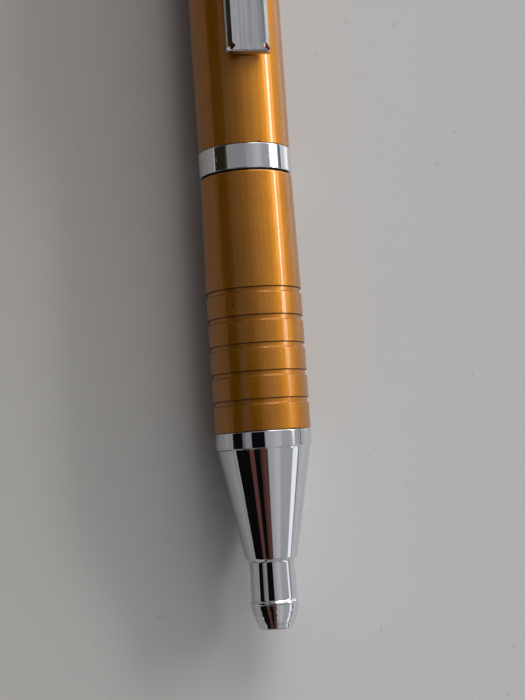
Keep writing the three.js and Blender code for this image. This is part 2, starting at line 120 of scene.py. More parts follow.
class PenSizes(bpy.types.PropertyGroup):
    """Sizes of the pen's outer pieces."""

    barrel_radius: length("Barrel radius", "Radius of the rear barrel", 4.55)
    barrel_bore: length("Barrel bore", "Inner radius of the rear barrel", 4.1)
    grip_radius: length("Grip radius", "Radius of the grip, the front collar, the clip band and the cap", 4.7)
    grip_bore: length("Grip bore", "Inner radius of the grip", 4.05)
    grip_front_round: length("Grip front rounding", "Rounding of the grip's front edge", 0.12)
    grip_rear_round: length("Grip rear rounding", "Rounding of the grip's rear edge", 0.22)
    first_groove: length("First groove", "From the grip's front to its first groove", 2.5)
    groove_pitch: length("Groove pitch", "From one groove to the next", 2.67)
    groove_width: length("Groove width", "Width of a groove round the grip", 0.55)
    groove_depth: length("Groove depth", "Depth of a groove round the grip", 0.17)
    groove_flare: length("Groove flare", "Slant of a groove's front wall", 0.08)
    groove_count: bpy.props.IntProperty(
        name="Grooves", description="Number of grooves round the grip", default=5, min=0, max=9
    )
    ring_radius: length("Ring radius", "Radius of the centre ring", 4.6)
    edge_round: length("Edge rounding", "Rounding of the chromed rings' edges", 0.08)
    nose_end_radius: length("Nose end radius", "Radius of the bullet at its rounded end", 1.63)
    nose_length: length("Nose length", "Length of the bullet before its ridge", 2.58)
    nose_end_round: length("Nose end rounding", "Rounding of the bullet's end", 0.22)
    ridge_radius: length("Ridge radius", "Radius of the nose's ridge", 2.4)
    ridge_width: length("Ridge width", "Width of the ridge's crest", 0.1)
    ridge_rise: length("Ridge rise", "Length of the slope behind the ridge", 0.16)
    neck_front_radius: length("Neck front radius", "Radius of the neck behind the ridge", 2.25)
    neck_rear_radius: length("Neck rear radius", "Radius of the neck where it enters the cone", 2.17)
    shank_radius: length("Shank radius", "Radius of the nose's shank inside the cone", 1.7)
    shank_length: length("Shank length", "Length of the nose's shank inside the cone", 3.5)
    point_bore: length("Point bore", "Inner radius of the nose round the refill's point", 1.3)
    mouth_radius: length("Mouth radius", "Radius of the hole that the point comes out of", 1.003)
    mouth_length: length("Mouth length", "Length of the narrow part of that hole", 0.9)
    cone_front_radius: length("Cone front radius", "Radius of the cone's front end", 2.53)
    cone_chamfer: length("Cone chamfer", "Chamfer of the cone's front end", 0.28)
    cone_length: length("Cone length", "Length of the cone that shows", 10.78)
    cone_bore: length("Cone bore", "Radius of the cone's bore", 1.75)
    thread_radius: length("Thread radius", "Outer radius of the nose's screw thread", 3.32)
    thread_depth: length("Thread depth", "Depth of the nose's screw thread", 0.32)
    thread_pitch: length("Thread pitch", "Pitch of the nose's screw thread", 1.0)
    tube_radius: length("Inner tube radius", "Radius of the bright inner tube", 3.5)
    tube_bore: length("Inner tube bore", "Inner radius of the bright inner tube", 3.1)
    slot_width: length("Slot width", "Width of the inner tube's slots", 1.24)
    stud_bore: length("Stud bore", "Radius of the bores of the clip band and the cap", 2.05)
    cap_side: length("Cap side", "Length of the cap's straight side", 2.1)
    cap_end_radius: length("Cap end radius", "Radius of the flat at the cap's end", 3.3)
    cap_wall: length("Cap wall", "Thickness of the cap's end", 0.9)
    clip_length: length("Clip length", "Length of the clip", 49.45)
    clip_width: length("Clip width", "Width of the clip over its folded sides", 4.3)
    clip_bevel: length("Clip fold", "Width of the fold between the clip's top and its sides", 0.5)
    clip_end_bevel: length("Clip end slant", "Slant of the clip's free end", 0.2)
    clip_flange: length("Clip side", "Height of the clip's folded sides below the slant", 0.6)
    clip_sheet: length("Clip sheet", "Thickness of the clip's sheet metal", 0.4)
    clip_flute_width: length("Flute width", "Width of a lengthwise flute in the clip", 0.8)
    clip_flute_depth: length("Flute depth", "Depth of a lengthwise flute in the clip", 0.06)
    clip_drop: length("Clip drop", "How much lower the clip lies at its free end", 0.9)
    clip_notch: length("Clip corner gap", "Width of the gaps at the corners of the clip's free end", 0.46)


class PenColours(bpy.types.PropertyGroup):
    """Colours of the pen's finishes and of the table."""

    lacquer_light: colour("Lacquer", "Lit colour of the metallic lacquer", 0.57, 0.235, 0.013)
    lacquer_deep: colour("Deep lacquer", "Colour of the lacquer between its flakes", 0.39, 0.13, 0.004)
    chrome: colour("Chrome", "Colour of the chrome plate", 0.80, 0.81, 0.83)
    steel: colour("Steel", "Colour of the drawn steel", 0.55, 0.56, 0.58)
    brass: colour("Brass", "Colour of the turned brass", 0.62, 0.43, 0.17)
    white_plastic: colour("White plastic", "Colour of the moulded white plastic", 0.80, 0.78, 0.70)
    black_plastic: colour("Black plastic", "Colour of the moulded black plastic", 0.02, 0.02, 0.022)
    rubber: colour("Rubber", "Colour of the rubber ring", 0.012, 0.012, 0.012)
    table: colour("Table", "Colour of the table", 0.68, 0.682, 0.672)


class PenStage(bpy.types.PropertyGroup):
    """The camera, the light and the table."""

    camera_place: bpy.props.FloatVectorProperty(
        name="Camera place", description="Where the camera stands", subtype="TRANSLATION", precision=5,
        default=(-0.027189, -0.038025, 0.132598)
    )
    camera_turn: bpy.props.FloatVectorProperty(
        name="Camera turn", description="How the camera is turned", subtype="EULER",
        default=tuple(math.radians(degrees) for degrees in (5.433, -11.874, -4.0))
    )
    lens: amount("Lens", "Focal length of the camera", 68.71, min=1, unit="CAMERA")
    table_width: amount("Table width", "Width of the table", 12.0, min=0.2, unit="LENGTH")
    window: amount("Window", "Brightness of the window", 18.0, min=0)
    ceiling: amount("Ceiling", "Brightness of the ceiling", 0.46, min=0)
    skylight: amount("Skylight", "Brightness of the light high behind the pen", 4.4, min=0)


def size(name):
    """One of the pen's sizes, in millimetres."""
    return getattr(bpy.context.scene.pen_sizes, name) / MM


def paint(name):
    """One of the pen's colours, with full opacity."""
    return (*getattr(bpy.context.scene.pen_colours, name), 1.0)


# Modelling


def choose(test, kind="VERT"):
    """Select the points, edges or faces whose middle passes a test, and nothing else."""
    bpy.ops.mesh.select_all(action="DESELECT")
    bpy.ops.mesh.select_mode(type=kind)
    mesh = bpy.context.object.data
    shape = bmesh.from_edit_mesh(mesh)
    parts = {"VERT": shape.verts, "EDGE": shape.edges, "FACE": shape.faces}[kind]
    for part in parts:
        place = part.co if kind == "VERT" else sum((v.co for v in part.verts), Vector()) / len(part.verts)
        normal = part.normal if kind != "EDGE" else (part.verts[1].co - part.verts[0].co).normalized()
        if test(place, normal):
            part.select_set(True)
    shape.select_flush_mode()
    bmesh.update_edit_mesh(mesh)


def choose_all():
    """Select the whole mesh in edit mode."""
    bpy.ops.mesh.select_all(action="SELECT")


def move(x, y, z):
    """Move what is selected."""
    bpy.ops.transform.translate(value=(x, y, z))


def rotate(angle, axis):
    """Turn what is selected about one of the axes."""
    bpy.ops.transform.rotate(value=angle, orient_axis=axis, center_override=(0, 0, 0))


def at_points(points):
    """A test for the outline's corners at the given (along, radius) points."""
    def test(place, _normal):
        return any(abs(place.y - y) < CLOSE and abs(place.z - z) < CLOSE for y, z in points)
    return test


def start_edit(name, add, **settings):
    """Add a primitive as a piece's start, alone, and go into edit mode with all of it selected."""
    if bpy.context.object and bpy.context.object.mode != "OBJECT":
        bpy.ops.object.mode_set(mode="OBJECT")
    bpy.ops.object.select_all(action="DESELECT")
    add(**settings)
    piece = bpy.context.object
    piece.name = name
    piece.data.name = name
    bpy.ops.object.mode_set(mode="EDIT")
    choose_all()
    return piece


def end_edit():
    """Go back to object mode."""
    bpy.ops.object.mode_set(mode="OBJECT")


def draw_outline(name, outline):
    """Draw a piece's outline as a chain of edges above the pen's axis, closed if it has a bore."""
    piece = start_edit(name, bpy.ops.mesh.primitive_plane_add, size=1)
    choose(lambda place, _normal: place.x > 0 or place.y > 0)
    bpy.ops.mesh.delete(type="VERT")
    choose_all()
    along, radius = outline[0]
    move(0.5, along + 0.5, radius)
    for (here, low), (there, high) in zip(outline, outline[1:]):
        bpy.ops.mesh.extrude_vertices_move(TRANSFORM_OT_translate={"value": (0, there - here, high - low)})
    if radius > 0:
        choose(at_points([outline[0], outline[-1]]))
        bpy.ops.mesh.edge_face_add()
    return piece


def round_corners(outline, corners, offset):
    """Round some of a drawn outline's corners."""
    choose(at_points([outline[i] for i in corners]))
    bpy.ops.mesh.bevel(offset=offset, offset_type="OFFSET", segments=4, profile=0.5, affect="VERTICES")


def spin_outline(facets):
    """Spin the drawn outline round the pen's axis into a closed solid."""
    bpy.ops.mesh.select_mode(type="VERT")
    choose_all()
    bpy.ops.mesh.spin(
        steps=facets, angle=2 * math.pi, center=(0, 0, 0), axis=(0, 1, 0), use_auto_merge=True
    )
    choose_all()
    bpy.ops.mesh.remove_doubles(threshold=CLOSE)
    bpy.ops.mesh.normals_make_consistent(inside=False)


def turn(name, outline, rounds=(), facets=128):
    """Turn a solid piece from its outline; rounds lists (corner numbers, rounding) pairs."""
    piece = draw_outline(name, outline)
    for corners, rounding in rounds:
        round_corners(outline, corners, rounding)
    spin_outline(facets)
    end_edit()
    return piece


def ring(name, node, radius, bore, rounding, facets=128):
    """Turn a plain ring or tube as long as a node, with rounded outer edges."""
    ahead, behind = front(node), rear(node)
    outline = [(ahead, bore), (ahead, radius), (behind, radius), (behind, bore)]
    return turn(name, outline, [((1, 2), rounding), ((0, 3), min(rounding, INNER_ROUND))], facets)


def hold(piece, *others):
    """Select some pieces and nothing else, with the first one active."""
    bpy.ops.object.select_all(action="DESELECT")
    for held in (piece, *others):
        held.select_set(True)
    bpy.context.view_layer.objects.active = piece


def apply_modifier(piece, kind, **settings):
    """Add a modifier to a piece and apply it."""
    hold(piece)
    modifier = piece.modifiers.new(kind.title(), kind)
    for name, value in settings.items():
        setattr(modifier, name, value)
    bpy.ops.object.modifier_apply(modifier=modifier.name)


def cut(piece, cutter):
    """Cut one modelled piece with another, which is used up."""
    apply_modifier(piece, "BOOLEAN", operation="DIFFERENCE", solver="EXACT", object=cutter)
    bpy.data.objects.remove(cutter)


def box_cutter(low, high, rounding=0.0, place=(0, 0, 0), lean=0.0, about="X"):
    """A block between two corners, its upright edges rounded, then turned and moved, for cutting."""
    cutter = start_edit("cutter", bpy.ops.mesh.primitive_cube_add, size=1)
    bpy.ops.transform.resize(value=[b - a for a, b in zip(low, high)])
    move(*[(a + b) / 2 for a, b in zip(low, high)])
    if rounding:
        choose(lambda _place, along: abs(along.z) > 0.9, "EDGE")
        bpy.ops.mesh.bevel(offset=rounding, segments=8, affect="EDGES")
    choose_all()
    if lean:
        rotate(math.radians(lean), about)
    move(*place)
    end_edit()
    return cutter


def join(piece, *others):
    """Join other modelled pieces to one."""
    hold(piece, *others)
    bpy.ops.object.join()


def wind(piece, turns, rise, steps, sides):
    """Carry a section with so many sides along a screw round the pen's axis and close its ends."""
    apply_modifier(
        piece, "SCREW", axis="Y", angle=2 * math.pi * turns, screw_offset=rise,
        steps=steps * turns, render_steps=steps * turns, use_merge_vertices=False,
    )
    bpy.ops.object.mode_set(mode="EDIT")
    choose_all()
    bpy.ops.mesh.fill_holes(sides=sides)
    choose_all()
    bpy.ops.mesh.normals_make_consistent(inside=False)
    end_edit()


def settle(piece, slot, body, *nodes, finish=None, smooth=32):
    """Bring a piece to its real size and place, with its finish, body and the nodes it stands for."""
    hold(piece)
    bpy.ops.object.shade_smooth_by_angle(angle=math.radians(smooth))
    apply_modifier(piece, "WEIGHTED_NORMAL", keep_sharp=True, weight=80, thresh=0.0)
    piece.location = (0, 0, AXIS_HEIGHT * MM)
    piece.scale = (MM, MM, MM)
    bpy.ops.object.transform_apply(location=True, rotation=True, scale=True)
    piece.data.materials.clear()
    piece.data.materials.append(finish_named(finish or slot))
    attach(piece, body)
    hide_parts(*nodes)


# Finishes


def maths(operation, swapped=False):
    """An operator on two shader values that adds a Math node."""
    def add_node(self, other):
        values = (other, self) if swapped else (self, other)
        return self.shader.node("Math", {"operation": operation}, dict(enumerate(values)))
    return add_node


class Socket:
    """A shader socket that Python's operators work on."""

    __add__ = __radd__ = maths("ADD")
    __mul__ = __rmul__ = maths("MULTIPLY")
    __sub__ = maths("SUBTRACT")
    __rsub__ = maths("SUBTRACT", swapped=True)
    __pow__ = maths("POWER")
    larger = maths("MAXIMUM")

    def __init__(self, shader, socket):
        self.shader = shader
        self.socket = socket


class Shader:
    """The node tree of a finish or of the room."""

    def __init__(self, tree):
        self.tree = tree
        tree.nodes.clear()

    def node(self, kind, settings=None, sockets=None, output=0):
        """Add a node with its settings and its sockets' values or links, and give one output."""
        made = self.tree.nodes.new("ShaderNode" + kind)
        for name, value in (settings or {}).items():
            setattr(made, name, value)
        for name, value in (sockets or {}).items():
            if isinstance(value, Socket):
                self.tree.links.new(value.socket, made.inputs[name])
            else:
                made.inputs[name].default_value = value
        return Socket(self, made.outputs[output]) if made.outputs else None

    def mix(self, factor, first, second):
        """Mix two colours."""
        return self.node("Mix", {"data_type": "RGBA"}, {0: factor, 6: first, 7: second}, 2)

    def ease(self, value, low, high):
        """A smooth step from 0 at low to 1 at high; low may be the larger."""
        return self.node(
            "MapRange", {"interpolation_type": "SMOOTHSTEP"},
            {"Value": value, "From Min": low, "From Max": high},
        )

    def band(self, value, low, high, soft):
        """1 where a value lies between low and high, with soft edges."""
        return self.ease(value, low - soft, low + soft) * self.ease(value, high + soft, high - soft)

    def parts(self, vector):
        """The x, y and z of a vector."""
        made = self.node("SeparateXYZ", None, {0: vector})
        return [Socket(self, made.socket.node.outputs[i]) for i in range(3)]

    def stretch(self, vector, x, y, z):
        """A vector with its parts stretched."""
        return self.node("VectorMath", {"operation": "MULTIPLY"}, {0: vector, 1: (x, y, z)})

    def noise(self, vector, scale, detail=2.0, roughness=0.5):
        """Soft noise at so many features to the metre."""
        return self.node(
            "TexNoise", None, {"Vector": vector, "Scale": scale, "Detail": detail, "Roughness": roughness}
        )

    def cells(self, vector, scale, feature="F1", output=0):
        """The distance in a pattern of cells, or their colours, at so many cells to the metre."""
        return self.node("TexVoronoi", {"feature": feature}, {"Vector": vector, "Scale": scale}, output)


class Finish(Shader):
    """A procedural finish on a Principled surface, read in the pen's own coordinates."""

    def __init__(self, name):
        self.material = bpy.data.materials.new(name)
        self.material.use_nodes = True
        super().__init__(self.material.node_tree)
        self.place = self.node("TexCoord", output="Object")
        self.along = self.parts(self.place)[1]

    def surface(self, **values):
        """Set the surface's sockets, named with underscores, and end the finish."""
        sockets = {
            name.replace("_", " ").title().replace("Ior", "IOR"): value for name, value in values.items()
        }
        shader = self.node("BsdfPrincipled", None, sockets)
        self.node("OutputMaterial", None, {"Surface": shader})
        return self.material

    def bump(self, height, distance, strength):
        """A bump from a height."""
        return self.node("Bump", None, {"Height": height, "Distance": distance, "Strength": strength})

    def speck(self, spot, radius, shape):
        """1 in a speck round a place, both in millimetres; a shape below 1 draws it out along the pen."""
        stretched = self.stretch(self.place, 1.0, shape, 1.0)
        centre = (spot[0] * MM, spot[1] * MM * shape, spot[2] * MM)
        gap = self.node("VectorMath", {"operation": "DISTANCE"}, {0: stretched, 1: centre}, 1)
        return self.ease(gap, radius * MM, radius * MM * 0.5)

    def scratches(self, scale, thin):
        """Fine scratches in two directions, 1 on a scratch."""
        def one_way(lean):
            turned = self.node(
                "VectorRotate", {"rotation_type": "AXIS_ANGLE"},
                {"Vector": self.place, "Axis": (0.3, 0.2, 1.0), "Angle": lean},
            )
            lines = self.cells(self.stretch(turned, 1.0, 0.06, 1.0), scale, "DISTANCE_TO_EDGE")
            return self.ease(lines, thin, 0.0) * self.ease(self.noise(self.place, scale / 3), 0.5, 0.62)

        return one_way(0.5).larger(one_way(-0.9))


# Specks on the lacquer: place, radius and stretch
SPECKS = (
    ((-2.49, -11.64, 8.67), 0.13, 1.0),
    ((-1.61, -10.62, 9.10), 0.11, 1.0),
    ((-2.89, -23.44, 8.39), 0.12, 0.35),
    ((-1.76, -33.74, 9.04), 0.11, 1.0),
    ((0.63, -7.72, 9.19), 0.16, 1.0),
)


def groove_edges():
    """Where the grip's grooves start and end along the pen, in metres."""
    first = front("grip_barrel") + size("first_groove")
    starts = [first + i * size("groove_pitch") for i in range(bpy.context.scene.pen_sizes.groove_count)]
    return [(start * MM, (start + size("groove_width")) * MM) for start in starts]


def lacquer():
    """Orange-gold metallic lacquer under a clear coat, with a few chips, and grime with painted shade at the
    grooves' rear walls.
    """
    finish = Finish("lacquer")
    flake = finish.parts(finish.cells(finish.place, 15000.0, output="Color"))[0]
    cloud = finish.noise(finish.place, 420.0, 3.0)
    shade = finish.mix(flake * 0.55 + cloud * 0.45, paint("lacquer_deep"), paint("lacquer_light"))

    walls = lips = 0.0
    for ahead, behind in groove_edges():
        walls += finish.band(finish.along, behind - 0.00007, behind + 0.00001, 0.00003)
        lips += finish.band(finish.along, ahead - 0.00004, ahead + 0.00006, 0.00003)
    worn = finish.noise(finish.stretch(finish.place, 1.0, 2.5, 1.0), 900.0, 4.0, 0.7)
    # Grime and painted shade: a broken dark line along each groove's rear wall, where the groove's shade
    # falls
    dirt_and_shade = walls * finish.ease(worn, 0.22, 0.42)
    wear = lips * finish.ease(worn, 0.44, 0.56)

    pick = finish.cells(finish.place, 330.0, output="Color")
    chosen = finish.ease(finish.parts(pick)[1], 0.86, 0.90)
    chips = finish.ease(finish.cells(finish.place, 330.0), 0.055, 0.030) * chosen
    for spot, radius, shape in SPECKS:
        chips = chips.larger(finish.speck(spot, radius, shape))

    # Painted shade with some grime: the grooves' rear walls are darkened
    shade = finish.mix(dirt_and_shade * 0.85, shade, (0.050, 0.018, 0.005, 1.0))
    shade = finish.mix(wear * 0.5, shade, (0.10, 0.045, 0.014, 1.0))
    shade = finish.mix(chips * 0.9, shade, (0.035, 0.018, 0.009, 1.0))
    smears = finish.noise(finish.stretch(finish.place, 1.0, 0.35, 1.0), 260.0, 4.0, 0.6)
    rough = 0.44 + smears * 0.05 + dirt_and_shade * 0.25 + chips * 0.3
    height = flake * 0.25 - chips - dirt_and_shade * 0.4 + worn * 0.08
    return finish.surface(
        base_color=shade,
        metallic=0.92 - dirt_and_shade * 0.6 - chips * 0.8,
        roughness=rough,
        coat_weight=0.85 - dirt_and_shade * 0.7 - wear * 0.4,
        coat_roughness=0.04,
        normal=finish.bump(height, 0.000004, 0.3),
    )


def chrome(name="chrome", brushing=0.0):
    """Polished chrome plate with faint smears, fine scratches and pits; it can be brushed lengthwise."""
    finish = Finish(name)
    smears = finish.noise(finish.stretch(finish.place, 1.0, 0.4, 1.0), 320.0, 5.0, 0.62)
    film = finish.ease(smears, 0.50, 0.72)
    marks = finish.scratches(900.0, 0.012)
    pits = finish.ease(finish.noise(finish.place, 5200.0, 2.0), 0.71, 0.77)
    shade = finish.mix(film * 0.5, paint("chrome"), (0.66, 0.67, 0.68, 1.0))
    shade = finish.mix(pits * 0.5, shade, (0.22, 0.20, 0.18, 1.0))
    rough = 0.035 + film * 0.07 + marks * 0.10 + pits * 0.2
    if brushing:
        lines = finish.noise(finish.stretch(finish.place, 1.0, 0.035, 0.2), 2400.0, 4.0, 0.65)
        upper = finish.ease(finish.parts(finish.place)[2], 0.0098, 0.0101)
        streaks = upper * finish.ease(lines, 0.30, 0.66)
        shade = finish.mix(upper * 0.5, shade, (0.66, 0.665, 0.67, 1.0))
        shade = finish.mix(streaks * brushing, shade, (0.40, 0.405, 0.41, 1.0))
        rough = rough + upper * 0.05 + streaks * 0.10
    return finish.surface(
        base_color=shade,
        metallic=1.0,
        roughness=rough,
        normal=finish.bump(smears * 0.6 - marks * 0.35 - pits, 0.0000025, 0.3),
    )


def turned_metal(name, rough, tarnish):
    """Turned metal: fine tool rings along the pen and a little tarnish."""
    finish = Finish(name)
    rings = finish.node(
        "TexWave", {"wave_type": "BANDS", "bands_direction": "Y"},
        {"Vector": finish.place, "Scale": 2600.0, "Distortion": 1.2, "Detail": 2.0, "Detail Scale": 1.5},
    )
    stain = finish.ease(finish.noise(finish.place, 620.0, 4.0, 0.6), 0.48, 0.72)
    shade = finish.mix(stain * 0.6, paint(name), tarnish)
    return finish.surface(
        base_color=finish.mix(rings * 0.12, shade, (0.9, 0.88, 0.84, 1.0)),
        metallic=1.0,
        roughness=rough + rings * 0.10 + stain * 0.12,
        normal=finish.bump(rings, 0.000006, 0.4),
    )


def moulded(name, rough, shine):
    """Moulded plastic or rubber: a fine grain and soft cloudiness."""
    finish = Finish(name)
    grain = finish.noise(finish.place, 9000.0, 3.0, 0.6)
    cloud = finish.noise(finish.place, 500.0, 3.0)
    base = paint(name)
    darker = tuple(part * 0.72 for part in base[:3]) + (1.0,)
    return finish.surface(
        base_color=finish.mix(cloud * 0.8, base, darker),
        roughness=rough + grain * 0.12,
        specular_ior_level=shine,
        normal=finish.bump(grain, 0.00001, 0.4),
    )


def make_finishes():
    """Make every finish once, by its slot's name."""
    return {
        "lacquer": lacquer(),
        "chrome": chrome(),
        "brushed_chrome": chrome("brushed_chrome", 0.6),
        "steel": turned_metal("steel", 0.20, (0.33, 0.32, 0.31, 1.0)),
        "brass": turned_metal("brass", 0.24, (0.34, 0.20, 0.07, 1.0)),
        "white_plastic": moulded("white_plastic", 0.38, 0.5),
        "black_plastic": moulded("black_plastic", 0.34, 0.5),
        "rubber": moulded("rubber", 0.62, 0.3),
    }


def finish_named(slot):
    """The finish for a slot, made when it is first asked for."""
    if slot not in bpy.data.materials or "pen_finish" not in bpy.data.materials[slot]:
        for name, material in make_finishes().items():
            material["pen_finish"] = True
            if material.name != name:
                bpy.data.materials[name].name = name + "_plain"
                material.name = name
    return bpy.data.materials[slot]


# Pieces


def bend(first, pull, last, share):
    """A value at a share of the way along a curve that is bent by a middle value."""
    return (1 - share) ** 2 * first + 2 * share * (1 - share) * pull + share * share * last


class PEN_OT_nose(bpy.types.Operator):
    """Turn the nose with its ridge and neck, the threaded cone and the front collar"""

    bl_idname = "pen.nose"
    bl_label = "Nose"

    def execute(self, context):
        self.turn_tip()
        self.turn_cone()
        clearance = 0.1
        collar = ring(
            "collar_ring", "front_collar", size("grip_radius"), size("thread_radius") + clearance,
            size("edge_round"),
        )
        settle(collar, "chrome", "collar", "front_collar")
        return {"FINISHED"}

    def turn_tip(self):
        """The bullet nose, its ridge, its neck and its shank inside the cone."""
        end, last = front("nose_tip"), rear("nose_tip")
        bullet, tip, widest = size("nose_length"), size("nose_end_radius"), size("ridge_radius")
        ridge = end + bullet
        behind_ridge = ridge + size("ridge_width")
        end_gap, fullness, steps = 0.05, 0.75, 15
        lead, foot, lip = 0.2, 0.1, 0.04  # where the curve starts, and where the ridge's front slope runs
        sunk, foot_sunk = 0.05, 0.06
        shank = last - size("shank_length") - end_gap
        curve = [
            (
                end + bend(lead, bullet / 2, bullet - foot, step / steps),
                bend(tip, tip + fullness * (widest - tip), widest - sunk, step / steps),
            )
            for step in range(2, steps)
        ]
        outline = [
            (end, size("mouth_radius")),
            (end, tip - sunk),
            *curve,
            (ridge - foot, widest - foot_sunk),
            (ridge - lip, widest),
            (behind_ridge, widest),
            (behind_ridge + size("ridge_rise"), size("neck_front_radius")),
            (shank, size("neck_rear_radius")),
            (shank, size("shank_radius")),
            (last, size("shank_radius")),
            (last, size("point_bore")),
            (ridge, size("point_bore")),
            (end + size("mouth_length"), size("mouth_radius")),
        ]
        crest = 3 + len(curve)
        piece = turn("nose_bullet", outline, [
            ((1,), size("nose_end_round")), ((0,), INNER_ROUND), ((crest - 1,), 0.03),
            ((crest, crest + 1), 0.045), ((crest + 2,), 0.07), ((crest + 3,), 0.04),
        ])
        settle(piece, "chrome", "nose", "nose_tip")

    def turn_cone(self):
        """The cone, its spigot and the screw thread round the spigot."""
        end = front("nose_cone")
        back = end + size("cone_length")
        step_in, shoulder, thread_start = 0.15, 0.9, 2.2
        thread, depth = size("thread_radius"), size("thread_depth")
        core = thread - depth
        last = rear("nose_cone")
        outline = [
            (end, size("cone_bore")),
            (end, size("cone_front_radius") - size("cone_chamfer")),
            (end + size("cone_chamfer"), size("cone_front_radius")),
            (back, size("grip_radius") - step_in),
            (back, thread),
            (back + shoulder, thread),
            (back + shoulder, core),
            (last - depth, core),
            (last, core - depth),
            (last, size("cone_bore")),
        ]
        piece = turn("nose_taper", outline, [((1, 2), 0.05), ((3,), 0.04), ((0,), 0.04)])
        join(piece, self.thread(back + thread_start, core))
        settle(piece, "chrome", "nose", "nose_cone")

    def thread(self, start, core):
        """The thread's ridge, from a flat section carried along a screw, its foot sunk in the core."""
        turns, foot_width, crest_width, sunk = 4, 0.36, 0.16, 0.1
        foot, crest = core - sunk, size("thread_radius")
        ridge = start_edit("thread", bpy.ops.mesh.primitive_plane_add, size=1)
        rotate(math.pi / 2, "Y")
        bpy.ops.transform.resize(value=(1, foot_width, crest - foot))
        choose(lambda place, _normal: place.z > 0)
        bpy.ops.transform.resize(value=(1, crest_width / foot_width, 1))
        choose_all()
        move(0, start, (foot + crest) / 2)
        bpy.ops.mesh.delete(type="ONLY_FACE")
        end_edit()
        wind(ridge, turns, turns * size("thread_pitch"), 48, 4)
        return ridge


class PEN_OT_grip(bpy.types.Operator):
    """Turn the lacquered grip with its grooves"""

    bl_idname = "pen.grip"
    bl_label = "Grip"

    def execute(self, context):
        start, end = front("grip_barrel"), rear("grip_barrel")
        radius, floor = size("grip_radius"), size("grip_radius") - size("groove_depth")
        outline = [(start, size("grip_bore")), (start, radius)]
        for ahead, behind in groove_edges():
            outline += [
                (ahead / MM, radius),
                (ahead / MM + size("groove_flare"), floor),
                (behind / MM, floor),
                (behind / MM, radius),
            ]
        outline += [(end, size("barrel_radius")), (end, size("grip_bore"))]
        last = len(outline) - 2
        crests = [i for i in range(2, last) if i % 4 in (1, 2)]
        floors = [i for i in range(2, last) if i % 4 in (0, 3)]
        piece = turn("grip_tube", outline, [
            ((1,), size("grip_front_round")), ((last,), size("grip_rear_round")),
            (crests, 0.045), (floors, 0.035), ((0, last + 1), INNER_ROUND),
        ], 160)
        settle(piece, "lacquer", "front", "grip_barrel")
        return {"FINISHED"}


class PEN_OT_slide(bpy.types.Operator):
    """Turn the bright inner tube, with its two slots, that shows when the pen is pulled open"""

    bl_idname = "pen.slide"
    bl_label = "Inner tube"

    def execute(self, context):
        piece = ring("inner_tube", "slide_tube", size("tube_radius"), size("tube_bore"), 0.06, 96)
        half, inside, outside = size("slot_width") / 2, 2, 5
        for node, ahead, behind in (("holder_pin", -FEED, 0), ("drive_pin", 0, PULL)):
            place = middle(node)
            cut(piece, box_cutter(
                (-half, place + ahead - half, inside), (half, place + behind + half, outside), half * 0.6,
            ))
        settle(piece, "chrome", "front", "slide_tube")
        return {"FINISHED"}


class PEN_OT_refill(bpy.types.Operator):
    """Turn the refill's point and ball, and wind its return spring"""

    bl_idname = "pen.refill"
    bl_label = "Refill"

    def execute(self, context):
        self.turn_point()
        self.turn_ball()
        self.wind_spring()
        return {"FINISHED"}

    def turn_point(self):
        """The brass point: a stepped taper with a lip that holds the ball."""
        start, end = front("refill_point"), rear("refill_point")
        seat, seat_radius, lip, shank, shank_radius = 0.4, 0.375, 0.35, 2.4, 0.925
        outline = [
            (start + seat, 0),
            (start + seat, seat_radius),
            (start, seat_radius),
            (start, 0.44),
            (start + lip, 0.515),
            (end - shank, 1.175),
            (end - shank, shank_radius),
            (end, shank_radius),
            (end, 0),
        ]
        piece = turn("writing_point", outline, [((3,), 0.02), ((5,), 0.06), ((7,), 0.06)], 64)
        settle(piece, "brass", "refill", "refill_point")

    def turn_ball(self):
        """The writing ball."""
        low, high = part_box("refill_ball")
        centre, radius, steps = middle("refill_ball"), (high.y - low.y) / 2 / MM, 24
        arc = [
            (centre - radius * math.cos(math.pi * i / steps), radius * math.sin(math.pi * i / steps))
            for i in range(1, steps)
        ]
        piece = turn("writing_ball", [(centre - radius, 0), *arc, (centre + radius, 0)], (), 48)
        settle(piece, "steel", "ball", "refill_ball", smooth=60)

    def wind_spring(self):
        """The return spring: a round wire's section carried along a screw."""
        start, end = front("refill_spring"), rear("refill_spring")
        wire, turns, sides = 0.18, 11, 14
        low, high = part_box("refill_spring")
        coil_radius = (high.x - low.x) / 2 / MM - wire
        spring = start_edit(
            "return_spring", bpy.ops.mesh.primitive_circle_add, vertices=sides, radius=wire,
            fill_type="NOTHING",
        )
        rotate(math.pi / 2, "Y")
        move(0, start + wire, coil_radius)
        end_edit()
        wind(spring, turns, end - start - 2 * wire, 32, sides)
        settle(spring, "steel", "front", "refill_spring", smooth=60)
        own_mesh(spring)


